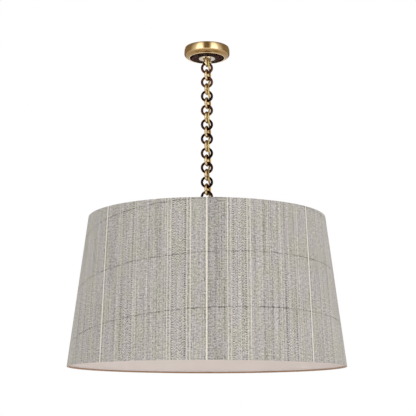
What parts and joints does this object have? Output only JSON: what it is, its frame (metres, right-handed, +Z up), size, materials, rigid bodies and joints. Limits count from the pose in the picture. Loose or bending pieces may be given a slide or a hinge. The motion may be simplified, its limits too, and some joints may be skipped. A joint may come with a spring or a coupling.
{
  "type": "pendant light",
  "caption": "Pendant light: round brass canopy, a chain of dark and brass rings with a woven cord, and a wide tapered drum shade of striped fabric on a spider frame.",
  "frame": {"origin": "middle of the ceiling plane, above the canopy", "axes": "+Z up, -Y towards someone who faces the lamp as in the picture, +X to their right"},
  "size_m": [0.762, 0.762, 0.9117],
  "materials": {
    "aged_brass": "satin aged brass",
    "dark_bronze": "polished dark bronze",
    "pale_brass": "pale polished brass",
    "zinc_steel": "zinc plated",
    "bush_rubber": "matt black",
    "cord_gold": "braided gold cord",
    "shade_fabric": "woven stripe",
    "shade_lining": "smooth pale lining",
    "hem_bronze": "bronze wire",
    "socket_black": "satin black",
    "bulb_glass": "frosted"
  },
  "bodies": {
    "canopy": {"mounting_strap": "zinc_steel", "box_screw_left": "zinc_steel", "box_screw_right": "zinc_steel", "threaded_nipple": "zinc_steel", "nipple_nut": "zinc_steel", "canopy_shell": "aged_brass", "canopy_disc": "dark_bronze", "escutcheon": "pale_brass", "backing_plate": "zinc_steel", "cord_bush": "bush_rubber", "top_loop": "aged_brass", "loop_nut_near": "zinc_steel", "loop_nut_far": "zinc_steel", "wire_connector_left": "bush_rubber", "wire_connector_right": "bush_rubber", "lamp_cord": "cord_gold"},
    "dark_link_01": {"dark_link_01": "dark_bronze"},
    "brass_link_01": {"brass_link_01": "aged_brass"},
    "dark_link_02": {"dark_link_02": "dark_bronze"},
    "brass_link_02": {"brass_link_02": "aged_brass"},
    "dark_link_03": {"dark_link_03": "dark_bronze"},
    "brass_link_03": {"brass_link_03": "aged_brass"},
    "dark_link_04": {"dark_link_04": "dark_bronze"},
    "brass_link_04": {"brass_link_04": "aged_brass"},
    "dark_link_05": {"dark_link_05": "dark_bronze"},
    "brass_link_05": {"brass_link_05": "aged_brass"},
    "dark_link_06": {"dark_link_06": "dark_bronze"},
    "brass_link_06": {"brass_link_06": "aged_brass"},
    "dark_link_07": {"dark_link_07": "dark_bronze"},
    "brass_link_07": {"brass_link_07": "aged_brass"},
    "dark_link_08": {"dark_link_08": "dark_bronze"},
    "brass_link_08": {"brass_link_08": "aged_brass"},
    "dark_link_09": {"dark_link_09": "dark_bronze"},
    "brass_link_09": {"brass_link_09": "aged_brass"},
    "dark_link_10": {"dark_link_10": "dark_bronze"},
    "brass_link_10": {"brass_link_10": "aged_brass"},
    "lamp": {"bottom_loop": "aged_brass", "stem_tube": "aged_brass", "stem_nut": "zinc_steel", "spider_hub": "aged_brass", "spider_rod_1": "aged_brass", "spider_rod_2": "aged_brass", "spider_rod_3": "aged_brass", "shade_cover": "shade_fabric", "shade_lining": "shade_lining", "top_wire": "hem_bronze", "bottom_wire": "hem_bronze", "cluster_body": "aged_brass", "cluster_cap": "aged_brass", "finial": "aged_brass", "cord_gland": "bush_rubber", "socket_arm_1": "aged_brass", "socket_arm_2": "aged_brass", "socket_arm_3": "aged_brass", "socket_1": "socket_black", "socket_2": "socket_black", "socket_3": "socket_black", "bulb_1": "bulb_glass", "bulb_2": "bulb_glass", "bulb_3": "bulb_glass"}
  },
  "joints": [
    {"name": "dark_link_01_swing", "type": "hinge", "parent": "canopy", "child": "dark_link_01", "pos_m": [0, 0, -0.05305], "axis": [0.2588, 0.9659, 0], "range_deg": [-40, 40], "deforming": ["lamp_cord"]},
    {"name": "brass_link_01_swing", "type": "hinge", "parent": "dark_link_01", "child": "brass_link_01", "pos_m": [0, 0, -0.07395], "axis": [1, 0, 0], "range_deg": [-15, 15], "deforming": ["lamp_cord"]},
    {"name": "dark_link_02_swing", "type": "hinge", "parent": "brass_link_01", "child": "dark_link_02", "pos_m": [0, 0, -0.09485], "axis": [-0.2588, -0.9659, 0], "range_deg": [-15, 15], "deforming": ["lamp_cord"]},
    {"name": "brass_link_02_swing", "type": "hinge", "parent": "dark_link_02", "child": "brass_link_02", "pos_m": [0, 0, -0.11575], "axis": [-1, 0, 0], "range_deg": [-15, 15], "deforming": ["lamp_cord"]},
    {"name": "dark_link_03_swing", "type": "hinge", "parent": "brass_link_02", "child": "dark_link_03", "pos_m": [0, 0, -0.13665], "axis": [0.2588, 0.9659, 0], "range_deg": [-15, 15], "deforming": ["lamp_cord"]},
    {"name": "brass_link_03_swing", "type": "hinge", "parent": "dark_link_03", "child": "brass_link_03", "pos_m": [0, 0, -0.15755], "axis": [1, 0, 0], "range_deg": [-15, 15], "deforming": ["lamp_cord"]},
    {"name": "dark_link_04_swing", "type": "hinge", "parent": "brass_link_03", "child": "dark_link_04", "pos_m": [0, 0, -0.17845], "axis": [-0.2588, -0.9659, 0], "range_deg": [-15, 15], "deforming": ["lamp_cord"]},
    {"name": "brass_link_04_swing", "type": "hinge", "parent": "dark_link_04", "child": "brass_link_04", "pos_m": [0, 0, -0.19935], "axis": [-1, 0, 0], "range_deg": [-15, 15], "deforming": ["lamp_cord"]},
    {"name": "dark_link_05_swing", "type": "hinge", "parent": "brass_link_04", "child": "dark_link_05", "pos_m": [0, 0, -0.22025], "axis": [0.2588, 0.9659, 0], "range_deg": [-15, 15], "deforming": ["lamp_cord"]},
    {"name": "brass_link_05_swing", "type": "hinge", "parent": "dark_link_05", "child": "brass_link_05", "pos_m": [0, 0, -0.24115], "axis": [1, 0, 0], "range_deg": [-15, 15], "deforming": ["lamp_cord"]},
    {"name": "dark_link_06_swing", "type": "hinge", "parent": "brass_link_05", "child": "dark_link_06", "pos_m": [0, 0, -0.26205], "axis": [-0.2588, -0.9659, 0], "range_deg": [-15, 15], "deforming": ["lamp_cord"]},
    {"name": "brass_link_06_swing", "type": "hinge", "parent": "dark_link_06", "child": "brass_link_06", "pos_m": [0, 0, -0.28295], "axis": [-1, 0, 0], "range_deg": [-15, 15], "deforming": ["lamp_cord"]},
    {"name": "dark_link_07_swing", "type": "hinge", "parent": "brass_link_06", "child": "dark_link_07", "pos_m": [0, 0, -0.30385], "axis": [0.2588, 0.9659, 0], "range_deg": [-15, 15], "deforming": ["lamp_cord"]},
    {"name": "brass_link_07_swing", "type": "hinge", "parent": "dark_link_07", "child": "brass_link_07", "pos_m": [0, 0, -0.32475], "axis": [1, 0, 0], "range_deg": [-15, 15], "deforming": ["lamp_cord"]},
    {"name": "dark_link_08_swing", "type": "hinge", "parent": "brass_link_07", "child": "dark_link_08", "pos_m": [0, 0, -0.34565], "axis": [-0.2588, -0.9659, 0], "range_deg": [-15, 15], "deforming": ["lamp_cord"]},
    {"name": "brass_link_08_swing", "type": "hinge", "parent": "dark_link_08", "child": "brass_link_08", "pos_m": [0, 0, -0.36655], "axis": [-1, 0, 0], "range_deg": [-15, 15], "deforming": ["lamp_cord"]},
    {"name": "dark_link_09_swing", "type": "hinge", "parent": "brass_link_08", "child": "dark_link_09", "pos_m": [0, 0, -0.38745], "axis": [0.2588, 0.9659, 0], "range_deg": [-15, 15], "deforming": ["lamp_cord"]},
    {"name": "brass_link_09_swing", "type": "hinge", "parent": "dark_link_09", "child": "brass_link_09", "pos_m": [0, 0, -0.40835], "axis": [1, 0, 0], "range_deg": [-15, 15], "deforming": ["lamp_cord"]},
    {"name": "dark_link_10_swing", "type": "hinge", "parent": "brass_link_09", "child": "dark_link_10", "pos_m": [0, 0, -0.42925], "axis": [-0.2588, -0.9659, 0], "range_deg": [-15, 15], "deforming": ["lamp_cord"]},
    {"name": "brass_link_10_swing", "type": "hinge", "parent": "dark_link_10", "child": "brass_link_10", "pos_m": [0, 0, -0.45015], "axis": [-1, 0, 0], "range_deg": [-15, 15], "deforming": ["lamp_cord"]},
    {"name": "lamp_swing", "type": "hinge", "parent": "brass_link_10", "child": "lamp", "pos_m": [0, 0, -0.47105], "axis": [0.2588, 0.9659, 0], "range_deg": [-20, 20], "deforming": ["lamp_cord"]}
  ]
}
